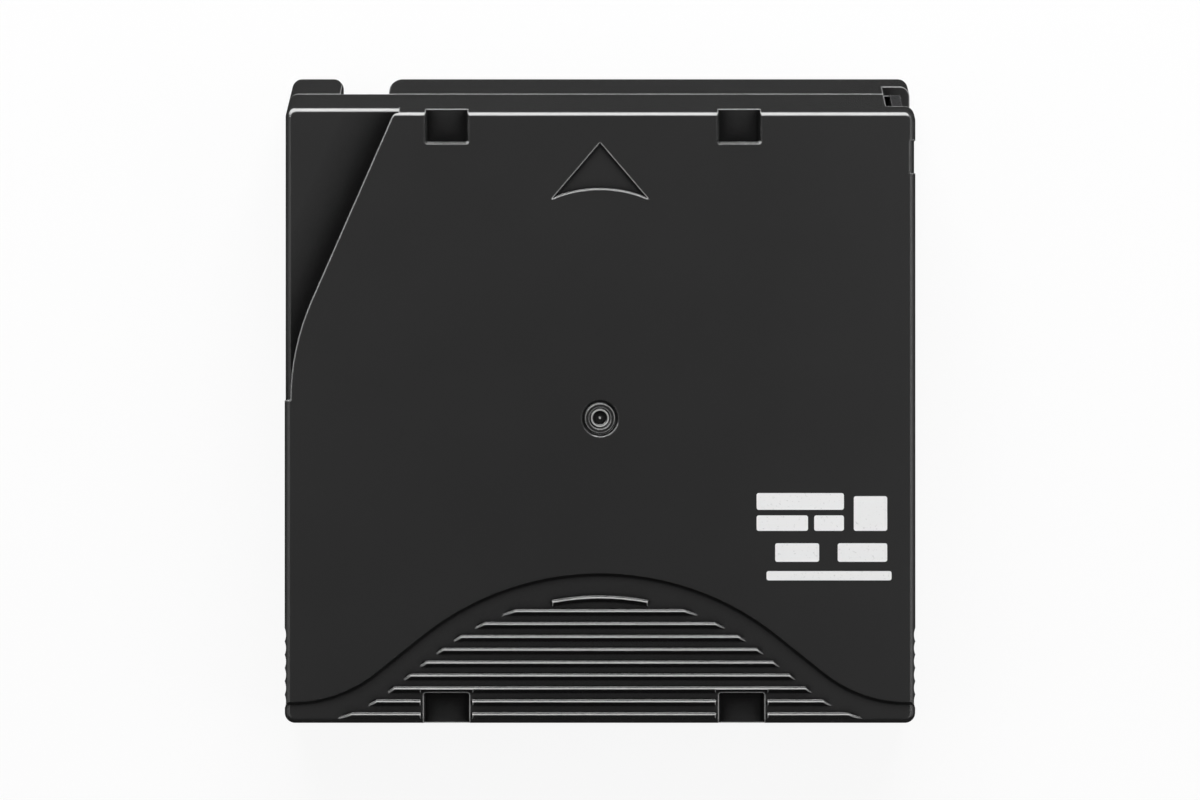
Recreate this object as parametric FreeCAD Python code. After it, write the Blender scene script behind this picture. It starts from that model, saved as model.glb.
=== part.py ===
import FreeCAD
import Part
import math
import os

# Half-inch single-reel data tape cartridge, lying flat. Sizes are in mm.
# +Z is up, +Y is the edge that goes into the drive, -Y is the label face, +X is the door side.
os.makedirs("parts", exist_ok=True)
V = FreeCAD.Vector
UP = V(0, 0, 1)

# Driving sizes
half_width = 51.0
half_depth = 52.7
tape_width = 12.65
wall = 1.6
top_wall = 1.7
overlap = 0.2
nothing = 0.05

# Heights from the floor up: floor, gap, lower flange, winding space, upper flange, gap, top wall
reel_gap_below = 1.4
flange_thickness = 1.2
winding_play = 0.25
upper_flange_thickness = 1.0
reel_gap_above = 1.7
flange_bottom_z = wall + reel_gap_below
winding_z = flange_bottom_z + flange_thickness
hub_top_z = winding_z + tape_width + winding_play
ceiling_z = hub_top_z + upper_flange_thickness + reel_gap_above
height = ceiling_z + top_wall
rear_y = -half_depth

# Case
seam_z = 10.3
seam_groove = 0.25
nose_lean = 6.8
nose_top_y = half_depth - nose_lean
corner_radius = 1.65
edge_radius = 0.9
foot_radius = 0.6
side_recess_y = (nose_top_y - 9.7, nose_top_y - 4.4)
side_recess_depth = 0.2

# Insertion guide on the top face
wedge_depth = 2.5
wedge_edge_x = -half_width + 1.0
wedge_start_y = nose_top_y - 46.4
wedge_arc_radius = 40.0
wedge_angle = math.radians(23.7)
wedge_corner_radius = 1.2

# Lanes at the front and rear edges of the top face
lane_depth = 1.75
lane_flare = 0.2
lane_corner = 0.25
lane_floor_wall = 1.2
front_lane_y = nose_top_y - 4.76
front_lane_x = (-24.8, 22.5)
front_lane_width = 6.8
rear_lane_y = rear_y + 4.93
rear_lane_x = (-24.8, 22.9)
rear_lane_width = 7.4

# Arrow and gate mark
arrow_depth = 0.35
arrow_tip_y = front_lane_y
arrow_length = 9.08
arrow_half = 7.76
arrow_crest = 1.58
gate_profile = [(0, 1.0), (3.0, 1.0), (3.0, 0), (2.7, -0.3), (2.65, -0.5), (2.45, -0.5), (2.4, -0.25)]
gate_profile += [(1.75, -0.25), (1.7, -0.45), (1.48, -0.45), (1.42, -0.15), (1.25, -0.15), (1.17, -0.6)]
gate_profile += [(0.2, -0.6), (0, -0.35)]

# Grip zone: crown arc, straight slope and foot arc, all tangent
grip_drop = 0.4
grip_edge_width = 0.5
grip_crown_y = rear_y + 24.27
grip_crown_radius = 46.0
grip_slope = math.radians(38.7)
grip_straight = 9.6
grip_foot_radius = 21.4
rib_inset = 3.81
rib_width = 0.85
rib_crest = 0.3
rib_pitch = 2.083
rib_count = 9
rib_first_y = rear_y + 18.25
rib_round = 0.2
rib_lane_gap = 0.5
arc_rib_half = 7.7
scallop_first_y = rear_y + 14.3
scallop_pitch = 2.15
scallop_count = 6
scallop_radius = 2.6
scallop_depth = 0.25

# Openings of the case
guide_notch_x = (-half_width + 8.5, -half_width + 16.4)
guide_notch_flares = (1.7, 2.0)
guide_notch_back = 0.2
door_opening_y = (nose_top_y - 18.4, nose_top_y + 0.1)
door_opening_z = (3.2, height - 3.2)
tab_window_x = half_width - 4.6
tab_window_z = (5.5, height - 3.4)
spindle_opening_radius = 19.5
land_width = 2.1
land_z = 2.7
label_x = (-half_width + 18.0, half_width - 5.0)
label_z = (2.4, height - 2.3)
label_depth = 0.3
protect_window_x = (-half_width + 4.5, -half_width + 15.5)
protect_window_z = (3.2, 7.4)

# Screws, bosses and datum holes
screw_places = (
    (-half_width + 9.0, nose_top_y - 7.9),
    (half_width - 17.5, nose_top_y - 3.1),
    (-half_width + 6.5, rear_y + 10.2),
    (half_width - 9.0, rear_y + 10.2),
)
boss_radius = 2.6
post_radius = 2.9
screw_radius = 0.9
screw_clearance = 0.05
screw_head_radius = 1.9
counterbore_radius = 2.2
screw_seat_z = 4.2
screw_head_height = 1.7
screw_top_z = 14.0
pilot_spare = 0.5
drive_slot = (1.1, 0.3, 0.8)
datum_place = (-half_width + 9.5, nose_top_y - 16.9)
datum_radius = 1.6
datum_depth = 5.0
datum_wall = 1.1
datum_cap = 1.2
slot_place = (half_width - 10.5, nose_top_y - 16.6)
slot_half_length = 1.0

# Reel
reel_y = -3.4
side_play = 2.4
rear_play = 0.7
flange_radius = min(half_width - wall - side_play, half_depth + reel_y - wall - rear_play)
hub_radius = 22.0
hub_wall = 2.4
hub_bore_radius = hub_radius - hub_wall
hub_foot_radius = spindle_opening_radius - 0.5
floor_bottom_z = 2.9
floor_top_z = 4.9
floor_hole_radius = 4.6
spigot_play = 0.2
spigot_size = (1.2, 1.5)
pack_radius = flange_radius - 2.0
drive_teeth = 60
drive_ring = (14.5, 18.4)
drive_tooth_halves = (0.22, 0.62)
drive_tip_z = 1.6
drive_tooth_gap_angle = 9
plate_ring = (5.4, 13.8)
plate_thickness = 0.7

# Brake and release pad
brake_teeth = 36
brake_ring = (8.3, 11.5)
brake_tooth_halves = (0.04, 0.73)
brake_tooth_height = 1.0
brake_tooth_gap_angle = 21
brake_mesh_gap = 0.25
brake_radius = 11.8
brake_disc_top_z = 7.7
nub_radii = (0.9, 2.2)
tower_radius = 4.6
tower_top_z = ceiling_z - 4.6
key_half = (2.8, 0.7)
key_clearance = 0.3
key_bottom_z = ceiling_z - 8.9
brake_lift = 1.6
pad_z = (3.9, 4.8)
pad_floor_gap = 0.1
pad_disc_radius = 6.2
pad_arm_half = 2.0
pad_arm_reach = 18.2
pad_leg_radius = 1.5
pad_leg_place = 16.5
pad_leg_bottom_z = 1.9
pad_clearance = 0.3
arm_angles = (90, 210, 330)
brake_spring_radius = 6.6
brake_spring_wire = 0.8
brake_spring_turns = 5.5
brake_spring_steps = 14
spring_seat_gap = 0.9
spring_seat_wall = 1.0
spring_seat_height = 1.5

# Door with its lug and tab, its spring and its rails
door_play = 0.25
door_thickness = 1.1
door_x = (half_width - wall - door_play - door_thickness, half_width - wall - door_play)
door_y = (nose_top_y - 20.4, half_depth)
door_z = (wall + 0.3, ceiling_z - 0.3)
rail_width = 0.6
rail_x = (door_x[0] - door_play - rail_width, door_x[0] - door_play)
rail_height = 1.0
rail_end_y = nose_top_y - 2.9
lower_rail_start_y = nose_top_y - 30.9
upper_rail_start_y = nose_top_y - 45.4
lug_reach = 3.15
lug_y = (nose_top_y - 2.1, nose_top_y - 0.7)
lug_z = (2.9, 5.2)
tab_x = door_x[0] - 0.55
tab_z = (9.3, height - 3.7)
tab_length = 1.5
tab_setback = 0.45
peg_length = 1.1
peg_play = 0.1
door_spring_x = half_width - 5.0
door_spring_z = 4.0
door_spring_radius = 0.8
door_spring_wire = 0.35
door_spring_turns = 16
door_spring_steps = 10
spring_stop_y = (nose_top_y - 33.4, nose_top_y - 31.9)

# Leader pin, clip, leader and retaining leaf
pin_place = (half_width - 9.4, nose_top_y - 9.3)
pin_radius = 1.4
pin_flange_radius = 3.0
pin_knob_radius = 2.4
pin_knob_z = (wall + 0.2, ceiling_z - 0.1)
pin_flange_z = (wall + 1.8, hub_top_z + upper_flange_thickness)
pin_shaft_z = (winding_z + 0.1, hub_top_z + 0.1)
seat_radius = 2.6
seat_wall = 1.2
seat_height = 1.4
seat_reach = (0.5, 2.0)
clip_radius = 2.5
clip_clearance = 0.05
clip_slot_reach = 0.8
clip_mouth = (0.2, 4.0, 1.1)
leader_thickness = 0.15
leader_gap = 0.3
leader_lift = 0.1
leaf_thickness = 0.3
leaf_steps = ((-5.0, 7.8), (-5.0, 5.2), (-1.4, 3.6), (1.0, 2.55), (2.7, 3.7))
leaf_z = (wall + 0.4, wall + 1.6, ceiling_z - 1.5, ceiling_z - 0.3)
leaf_web = 0.9

# Write-protect slider and memory board
slider_x = (-half_width + 3.5, -half_width + 11.0)
slider_y = (rear_y + 1.7, rear_y + 2.8)
slider_z = (wall + 0.3, 8.2)
slider_tab_x = (-half_width + 4.8, -half_width + 9.8)
slider_tab_margin = 0.3
slider_tab_y = rear_y + 0.4
thumb_slot = (0.8, 0.4)
slider_guide = (1.0, 5.0, 0.9, 2.0)
board_size = (12.0, 8.5, 0.6)
board_centre = (half_width - 19.5, rear_y + 5.4, 5.2)
board_rib_width = 1.0
coil_size = (8.6, 6.6, 0.12)
coil_band = 1.4
chip_size = 2.4
chip_thickness = 0.6


def box(x0, x1, y0, y1, z0, z1):
    return Part.makeBox(x1 - x0, y1 - y0, z1 - z0, V(x0, y0, z0))


def rod(radius, z0, z1, x=0.0, y=0.0):
    return Part.makeCylinder(radius, z1 - z0, V(x, y, z0), UP)


def prism(points, z0, z1):
    corners = [V(x, y, z0) for x, y in points]
    face = Part.Face(Part.makePolygon(corners + corners[:1]))
    return face.extrude(V(0, 0, z1 - z0))


def prism_from_edges(edges, z0, z1):
    face = Part.Face(Part.Wire(edges))
    face.translate(V(0, 0, z0))
    return face.extrude(V(0, 0, z1 - z0))


def line(a, b):
    return Part.makeLine(V(a[0], a[1], 0), V(b[0], b[1], 0))


def arc(a, middle, b):
    return Part.Arc(V(a[0], a[1], 0), V(middle[0], middle[1], 0), V(b[0], b[1], 0)).toShape()


def turned(points, x=0.0, y=0.0):
    """A solid turned round the vertical line through (x, y) from (radius, z) points."""
    corners = [V(x + r, y, z) for r, z in points]
    face = Part.Face(Part.makePolygon(corners + corners[:1]))
    return face.revolve(V(x, y, 0), UP, 360)


def ring(inner, outer, z0, z1, x=0.0, y=0.0):
    return rod(outer, z0, z1, x, y).cut(rod(inner, z0 - 1, z1 + 1, x, y))


def joined(first, others):
    return first.multiFuse(others).removeSplitter()


def save(name, shape):
    solids = shape.Solids
    assert len(solids) == 1, (name, len(solids))
    assert solids[0].isValid(), name
    solids[0].exportStep("parts/" + name + ".step")
    print(name, round(shape.Volume, 1))


# The rounded foot of the leaning nose reaches exactly the half depth
nose_slope = (half_depth - nose_top_y) / height
nose_foot_y = half_depth + foot_radius * (nose_slope + math.sqrt(1 + nose_slope * nose_slope) - 1)


def nose_y(z):
    return nose_foot_y - nose_slope * z


def slab(inset, z0, z1):
    """The plain case block between two heights, inset from the outside."""
    back = -half_depth + inset
    nose_inset = inset * math.sqrt(1 + nose_slope * nose_slope)
    corners = [V(0, back, z0), V(0, nose_y(z0) - nose_inset, z0)]
    corners += [V(0, nose_y(z1) - nose_inset, z1), V(0, back, z1)]
    face = Part.Face(Part.makePolygon(corners + corners[:1]))
    face.translate(V(-half_width + inset, 0, 0))
    return face.extrude(V(2 * (half_width - inset), 0, 0))


def rounded(shape, radius, keep):
    return shape.makeFillet(radius, [e for e in shape.Edges if keep(e)])


def upright(edge):
    box_of = edge.BoundBox
    return box_of.ZLength > height / 2


def at_height(z):
    def found(edge):
        box_of = edge.BoundBox
        return abs(box_of.ZMin - z) < 0.01 and abs(box_of.ZMax - z) < 0.01

    return found


# Outer form of the closed case
outer = rounded(slab(0, 0, height), corner_radius, upright)
outer = rounded(outer, edge_radius, at_height(height))
outer = rounded(outer, foot_radius, at_height(0))

# The right side is let in a little above the seam, beside the door
big = 70.0
side_recess = box(0, big, *side_recess_y, seam_z, big)
shifted = outer.copy()
shifted.translate(V(-side_recess_depth, 0, 0))
outer = outer.cut(side_recess).fuse(shifted.common(side_recess))

# Insertion guide: the front left of the top face is lowered
def wedge_point(angle):
    return (
        wedge_edge_x + wedge_arc_radius * (1 - math.cos(angle)),
        wedge_start_y + wedge_arc_radius * math.sin(angle),
    )


wedge_bend = wedge_point(wedge_angle)
along = (math.sin(wedge_angle), math.cos(wedge_angle))
corner = (wedge_bend[0] + (nose_top_y - wedge_bend[1]) * math.tan(wedge_angle), nose_top_y)
corner_angle = math.pi / 2 + wedge_angle
tangent = wedge_corner_radius / math.tan(corner_angle / 2)
corner_start = (corner[0] - tangent * along[0], corner[1] - tangent * along[1])
corner_end = (corner[0] + tangent, corner[1])
corner_reach = wedge_corner_radius / math.sin(corner_angle / 2) - wedge_corner_radius
corner_turn = corner_angle / 2
corner_mid = (
    corner[0] + corner_reach * math.cos(corner_turn),
    corner[1] - corner_reach * math.sin(corner_turn),
)
past_end = (corner_end[0], big)


def wedge_prism(z0, z1):
    edges = [
        arc((wedge_edge_x, wedge_start_y), wedge_point(wedge_angle / 2), wedge_bend),
        line(wedge_bend, corner_start),
        arc(corner_start, corner_mid, corner_end),
        line(corner_end, past_end),
        line(past_end, (-big, big)),
        line((-big, big), (-big, wedge_start_y)),
        line((-big, wedge_start_y), (wedge_edge_x, wedge_start_y)),
    ]
    return prism_from_edges(edges, z0, z1)


def lowered(shape, region, depth):
    """Inside the region, the top of the case is moved down with its rounded edge."""
    moved = shape.copy()
    moved.translate(V(0, nose_slope * depth, -depth))
    return shape.cut(region).fuse(moved.common(region))


middle_z = (seam_z + height) / 2
outer = lowered(outer, wedge_prism(middle_z, big), wedge_depth)


# Grip zone: the rear of the top face is lowered a little behind a curved step
def mirrored(point):
    return (-point[0], point[1])


def grip_outline(inset):
    """The edge of the grip zone, or with an inset a line inside it."""
    crown_radius = grip_crown_radius - inset
    crown_centre_y = grip_crown_y - grip_crown_radius
    shoulder = (crown_radius * math.sin(grip_slope), crown_centre_y + crown_radius * math.cos(grip_slope))
    foot = (shoulder[0] + grip_straight * math.cos(grip_slope), shoulder[1] - grip_straight * math.sin(grip_slope))
    foot_radius_here = grip_foot_radius + inset
    centre = (foot[0] + foot_radius_here * math.sin(grip_slope), foot[1] + foot_radius_here * math.cos(grip_slope))
    half_turn = grip_slope / 2
    foot_mid = (centre[0] - foot_radius_here * math.sin(half_turn), centre[1] - foot_radius_here * math.cos(half_turn))
    foot_end = (centre[0], centre[1] - foot_radius_here)
    side_point = (big, foot_end[1])
    return [
        arc(mirrored(shoulder), (0, crown_centre_y + crown_radius), shoulder),
        line(shoulder, foot),
        arc(foot, foot_mid, foot_end),
        line(foot_end, side_point),
        line(side_point, (big, -big)),
        line((big, -big), (-big, -big)),
        line((-big, -big), mirrored(side_point)),
        line(mirrored(side_point), mirrored(foot_end)),
        arc(mirrored(foot_end), mirrored(foot_mid), mirrored(foot)),
        line(mirrored(foot), mirrored(shoulder)),
    ]


grip_floor_z = height - grip_drop
grip_region = prism_from_edges(grip_outline(grip_edge_width), middle_z, big)
sunk = outer.copy()
sunk.translate(V(0, 0, -grip_drop))
outer = outer.cut(grip_region).fuse(sunk.common(grip_region))
grip_edge = []
for inset, z in ((grip_edge_width, grip_floor_z), (0, height)):
    wire = Part.Wire(grip_outline(inset))
    wire.translate(V(0, 0, z))
    grip_edge.append(wire)
outer = outer.cut(Part.makeLoft(grip_edge, True, True))

# Ribs of the grip zone, level with the main face and sloping off to the rear
rib_bottom_z = grip_floor_z - overlap
rib_section = [(0, rib_bottom_z), (0, height), (-rib_crest, height)]
rib_section += [(-rib_width, grip_floor_z), (-rib_width, rib_bottom_z)]
rib_field = prism_from_edges(grip_outline(rib_inset), rib_bottom_z, height)


def front_top(edge):
    box_of = edge.BoundBox
    return at_height(height)(edge) and box_of.XLength > arc_rib_half and box_of.YMax > front - nothing


ribs = []
for index in range(rib_count):
    front = rib_first_y - index * rib_pitch
    corners = [V(-half_width, front + y, z) for y, z in rib_section]
    bar = Part.Face(Part.makePolygon(corners + corners[:1])).extrude(V(2 * half_width, 0, 0))
    ribs.append(rounded(bar, rib_round, front_top).common(rib_field))
arc_rib_radius = grip_crown_radius - rib_inset
arc_rib_y = grip_crown_y - grip_crown_radius
front = arc_rib_y + arc_rib_radius
arc_rib = rounded(turned([(arc_rib_radius + y, z) for y, z in rib_section], 0, arc_rib_y), rib_round, front_top)
ribs.append(arc_rib.common(box(-arc_rib_half, arc_rib_half, arc_rib_y, 0, 0, big)))
rib_gaps = []
for x in rear_lane_x:
    half = rear_lane_width / 2 + rib_lane_gap
    rib_gaps.append(box(x - half, x + half, -big, rear_lane_y + rib_lane_gap, rib_bottom_z, big))
ribs = [rib.cut(rib_gaps[0]).cut(rib_gaps[1]) for rib in ribs]
outer = outer.multiFuse(ribs)

# Lanes, arrow and gate mark in the top face
lane_z = height - lane_depth


def lane(x, width, end_y, way):
    """A lane from its inner end out past the edge, with cut corners and flared upper edges."""
    levels = ((lane_z, 0), (height - lane_flare, 0), (height + nothing, lane_flare + nothing))
    wires = []
    for z, grow in levels:
        half = width / 2 + grow
        end = end_y - way * grow
        side_y = end + way * lane_corner
        corners = [(x - half, side_y), (x - half + lane_corner, end), (x + half - lane_corner, end)]
        corners += [(x + half, side_y), (x + half, way * big), (x - half, way * big)]
        points = [V(px, py, z) for px, py in corners]
        wires.append(Part.makePolygon(points + points[:1]))
    straight = Part.makeLoft(wires[:2], True, True)
    return straight.fuse(Part.makeLoft(wires[1:], True, True))


lanes = []
lane_pads = []
for x in front_lane_x:
    lanes.append(lane(x, front_lane_width, front_lane_y, 1))
    side = front_lane_width / 2 + wall
    lane_pads.append(box(x - side, x + side, front_lane_y - wall, big, lane_z - lane_floor_wall, big))
for x in rear_lane_x:
    lanes.append(lane(x, rear_lane_width, rear_lane_y, -1))
    side = rear_lane_width / 2 + wall
    lane_pads.append(box(x - side, x + side, -big, rear_lane_y + wall, lane_z - lane_floor_wall, big))
arrow_base = (arrow_half, arrow_tip_y - arrow_length)
arrow_edges = [
    line((0, arrow_tip_y), arrow_base),
    arc(arrow_base, (0, arrow_base[1] + arrow_crest), mirrored(arrow_base)),
    line(mirrored(arrow_base), (0, arrow_tip_y)),
]
arrow = prism_from_edges(arrow_edges, height - arrow_depth, big)
gate = turned([(r, height + z) for r, z in gate_profile], 0, reel_y)

# Scallops on both sides
scallops = []
for index in range(scallop_count):
    y = scallop_first_y - index * scallop_pitch
    for side in (-1, 1):
        x = side * (half_width + scallop_radius - scallop_depth)
        scallops.append(rod(scallop_radius, land_z, big, x, y))

# Door opening, tab window, label recess, seam groove, write-protect window
door_opening = box(half_width - wall - overlap, big, *door_opening_y, *door_opening_z)
tab_window = box(tab_window_x, big, door_opening_y[1] - wall, big, *tab_window_z)
label = box(*label_x, -big, rear_y + label_depth, *label_z)
groove = box(-big, big, -big, big, seam_z - seam_groove / 2, seam_z + seam_groove / 2)
groove = groove.cut(slab(seam_groove, seam_z - 1, seam_z + 1))
protect_window = box(*protect_window_x, -big, rear_y + wall + overlap, *protect_window_z)

# Cavity
cavity = slab(wall, wall, ceiling_z)
wedge_ceiling_z = height - wedge_depth - wall
wedge_pad = wedge_prism(wedge_ceiling_z, big)
pad_shift = wedge_pad.copy()
pad_shift.translate(V(wall * math.cos(wedge_angle), -wall * math.sin(wedge_angle), 0))
cavity = cavity.cut(wedge_pad).cut(pad_shift)
cavity = cavity.cut(lane_pads[0].multiFuse(lane_pads[1:]))

hollow = cavity.multiFuse([door_opening, tab_window, label, protect_window, gate, arrow] + lanes)
body = outer.cut(hollow).cut(groove)
body = body.cut(scallops[0].multiFuse(scallops[1:]))
top = body.common(box(-big, big, -big, big, seam_z, big))
bottom = body.common(box(-big, big, -big, big, -1, seam_z))

# Inner features of the top shell
top_parts = []
inside_top = ceiling_z + overlap
for x, y in screw_places:
    under_wedge = x < 0 and y > 0
    boss_top = wedge_ceiling_z + overlap if under_wedge else inside_top
    top_parts.append(rod(boss_radius, seam_z, boss_top, x, y))


def cross(half_long, half_short, z0, z1):
    along_x = box(-half_long, half_long, reel_y - half_short, reel_y + half_short, z0, z1)
    return along_x.fuse(box(-half_short, half_short, reel_y - half_long, reel_y + half_long, z0, z1))


top_parts.append(cross(*key_half, key_bottom_z, inside_top))
spring_seat = brake_spring_radius + brake_spring_wire / 2 + spring_seat_gap
top_parts.append(ring(spring_seat, spring_seat + spring_seat_wall, ceiling_z - spring_seat_height, inside_top, 0, reel_y))
top_parts.append(box(*rail_x, upper_rail_start_y, rail_end_y, ceiling_z - rail_height, inside_top))
px, py = pin_place


def pin_seat(z0, z1):
    """Part of a ring round one end of the pin, open towards the door."""
    outside = seat_radius + seat_wall
    seat = ring(seat_radius, outside, z0, z1, px, py)
    return seat.common(box(px - outside, px + seat_reach[0], py - outside, py + seat_reach[1], z0, z1))


top_parts.append(pin_seat(ceiling_z - seat_height, inside_top))
pilots = [rod(screw_radius + screw_clearance, seam_z - 1, screw_top_z + pilot_spare, x, y) for x, y in screw_places]
top = joined(top, top_parts).cut(pilots[0].multiFuse(pilots[1:]))
save("top_shell", top)

# Inner features of the bottom shell
bottom_parts = []
inside_floor = wall - overlap
half_floor = wall / 2
for x, y in screw_places:
    bottom_parts.append(rod(post_radius, half_floor, seam_z, x, y))
bottom_parts.append(rod(spindle_opening_radius + land_width, half_floor, land_z, 0, reel_y))
notch_left, notch_right = guide_notch_x
notch_y = nose_y(seam_z) - guide_notch_back
backing = box(notch_left - wall, notch_right + wall, notch_y - wall, big, half_floor, seam_z)
bottom_parts.append(backing.common(slab(wall / 2, 0, seam_z)))
bottom_parts.append(box(*rail_x, lower_rail_start_y, rail_end_y, inside_floor, wall + rail_height))
bottom_parts.append(pin_seat(inside_floor, wall + seat_height))
lug_x = door_x[0] - lug_reach
bottom_parts.append(box(lug_x - door_play, rail_x[0], *spring_stop_y, inside_floor, lug_z[1]))
bottom_parts.append(rod(datum_radius + datum_wall, half_floor, datum_depth + datum_cap, *datum_place))
slot_x, slot_y = slot_place


def slot(radius, z0, z1):
    middle = box(slot_x - slot_half_length, slot_x + slot_half_length, slot_y - radius, slot_y + radius, z0, z1)
    ends = [rod(radius, z0, z1, slot_x + side * slot_half_length, slot_y) for side in (-1, 1)]
    return middle.multiFuse(ends)


bottom_parts.append(slot(datum_radius + datum_wall, half_floor, datum_depth + datum_cap))
guide_wall, guide_top_z, guide_before, guide_after = slider_guide
guide_y = slider_y[1] + slider_tab_margin
guide_x = (slider_x[0] - guide_before, protect_window_x[1] + guide_after)
bottom_parts.append(box(*guide_x, guide_y, guide_y + guide_wall, inside_floor, guide_top_z))

# Two sloping ribs carry the memory board
bx, by, bz = board_centre
rib_rear_y = rear_y + wall - overlap
face_sum = by + bz - board_size[2] / math.sqrt(2)
for x in (bx - board_size[0] / 2, bx + board_size[0] / 2 - board_rib_width):
    corners = [V(x, rib_rear_y, inside_floor), V(x, rib_rear_y, face_sum - rib_rear_y)]
    corners += [V(x, face_sum - inside_floor, inside_floor)]
    face = Part.Face(Part.makePolygon(corners + corners[:1]))
    bottom_parts.append(face.extrude(V(board_rib_width, 0, 0)))

bottom = joined(bottom, bottom_parts)
bottom_cuts = [rod(spindle_opening_radius, -1, land_z + 1, 0, reel_y)]
for x, y in screw_places:
    bottom_cuts.append(rod(counterbore_radius, -1, screw_seat_z, x, y))
    bottom_cuts.append(rod(screw_radius + screw_clearance, 0, seam_z + 1, x, y))
left_flare, right_flare = guide_notch_flares
notch_edges = [
    line((notch_left, notch_y), (notch_left, half_depth - left_flare)),
    arc(
        (notch_left, half_depth - left_flare),
        (notch_left - left_flare * (1 - math.sqrt(0.5)), half_depth - left_flare * (1 - math.sqrt(0.5))),
        (notch_left - left_flare, half_depth),
    ),
    line((notch_left - left_flare, half_depth), (notch_left - left_flare, half_depth + 1)),
    line((notch_left - left_flare, half_depth + 1), (notch_right + right_flare, half_depth + 1)),
    line((notch_right + right_flare, half_depth + 1), (notch_right + right_flare, half_depth)),
    arc(
        (notch_right + right_flare, half_depth),
        (notch_right + right_flare * (1 - math.sqrt(0.5)), half_depth - right_flare * (1 - math.sqrt(0.5))),
        (notch_right, half_depth - right_flare),
    ),
    line((notch_right, half_depth - right_flare), (notch_right, notch_y)),
    line((notch_right, notch_y), (notch_left, notch_y)),
]
bottom_cuts.append(prism_from_edges(notch_edges, -1, seam_z + 1))
bottom_cuts.append(rod(datum_radius, -1, datum_depth, *datum_place))
bottom_cuts.append(slot(datum_radius, -1, datum_depth))
bottom = bottom.cut(bottom_cuts[0].multiFuse(bottom_cuts[1:]))
save("bottom_shell", bottom)

# Screws
for index, (x, y) in enumerate(screw_places):
    screw = rod(screw_head_radius, screw_seat_z - screw_head_height, screw_seat_z, x, y)
    screw = screw.fuse(rod(screw_radius, screw_seat_z, screw_top_z, x, y)).removeSplitter()
    slot_long, slot_short, slot_deep = drive_slot
    drive_top = screw_seat_z - screw_head_height + slot_deep
    drive = box(x - slot_long, x + slot_long, y - slot_short, y + slot_short, 0, drive_top)
    drive = drive.fuse(box(x - slot_short, x + slot_short, y - slot_long, y + slot_long, 0, drive_top))
    save("case_screw_%d" % (index + 1), screw.cut(drive))


def tooth(low_half, low_z, high_half, high_z, ring_radii, angle):
    """One radial tooth between two heights; the halves are half widths."""
    inner, outer_radius = ring_radii
    corners = [V(inner, -low_half, low_z), V(inner, low_half, low_z), V(inner, high_half, high_z)]
    corners += [V(inner, -high_half, high_z)]
    face = Part.Face(Part.makePolygon(corners + corners[:1]))
    solid = face.extrude(V(outer_radius - inner, 0, 0))
    solid.rotate(V(0, 0, 0), UP, angle)
    solid.translate(V(0, reel_y, 0))
    return solid


def near_arm(angle, limit):
    return any(abs((angle - a + 180) % 360 - 180) <= limit for a in arm_angles)


# Reel hub with its lower flange
channel_z = pad_z[0] - pad_floor_gap
hub_profile = [(floor_hole_radius, floor_bottom_z), (hub_foot_radius, floor_bottom_z)]
hub_profile += [(hub_foot_radius, flange_bottom_z), (flange_radius, flange_bottom_z)]
hub_profile += [(flange_radius, winding_z), (hub_radius, winding_z)]
hub_profile += [(hub_radius, hub_top_z), (hub_bore_radius, hub_top_z), (hub_bore_radius, floor_top_z)]
hub_profile += [(pad_disc_radius + pad_clearance, floor_top_z), (pad_disc_radius + pad_clearance, channel_z)]
hub_profile += [(floor_hole_radius, channel_z)]
hub = turned(hub_profile, 0, reel_y)
hub_teeth = []
for index in range(drive_teeth):
    angle = index * 360.0 / drive_teeth
    if not near_arm(angle, drive_tooth_gap_angle):
        tip_half, root_half = drive_tooth_halves
        hub_teeth.append(tooth(tip_half, drive_tip_z, root_half, floor_bottom_z + nothing, drive_ring, angle))
for index in range(brake_teeth):
    angle = index * 360.0 / brake_teeth
    if not near_arm(angle, brake_tooth_gap_angle):
        tip_half, root_half = brake_tooth_halves
        top_z = floor_top_z + brake_tooth_height
        hub_teeth.append(tooth(root_half, floor_top_z - nothing, tip_half, top_z, brake_ring, angle))
hub = hub.multiFuse(hub_teeth)
for angle in arm_angles:
    arm_half = pad_arm_half + pad_clearance
    channel = box(0, pad_arm_reach + pad_clearance, -arm_half, arm_half, channel_z, floor_top_z + brake_tooth_height)
    channel = channel.fuse(rod(pad_leg_radius + pad_clearance, 0, floor_top_z, pad_leg_place, 0))
    channel.rotate(V(0, 0, 0), UP, angle)
    channel.translate(V(0, reel_y, 0))
    hub = hub.cut(channel)
save("reel_hub", hub)

spigot = hub_bore_radius - spigot_play
spigot_wall, spigot_length = spigot_size
flange_profile = [(spigot - spigot_wall, hub_top_z - spigot_length), (spigot, hub_top_z - spigot_length)]
flange_profile += [(spigot, hub_top_z)]
flange_profile += [(flange_radius, hub_top_z), (flange_radius, hub_top_z + upper_flange_thickness)]
flange_profile += [(spigot - spigot_wall, hub_top_z + upper_flange_thickness)]
save("upper_flange", turned(flange_profile, 0, reel_y))
save("drive_plate", ring(*plate_ring, floor_bottom_z - plate_thickness, floor_bottom_z, 0, reel_y))
tape_bottom_z = winding_z + winding_play / 2
save("tape_pack", ring(hub_radius, pack_radius, tape_bottom_z, tape_bottom_z + tape_width, 0, reel_y))

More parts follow.
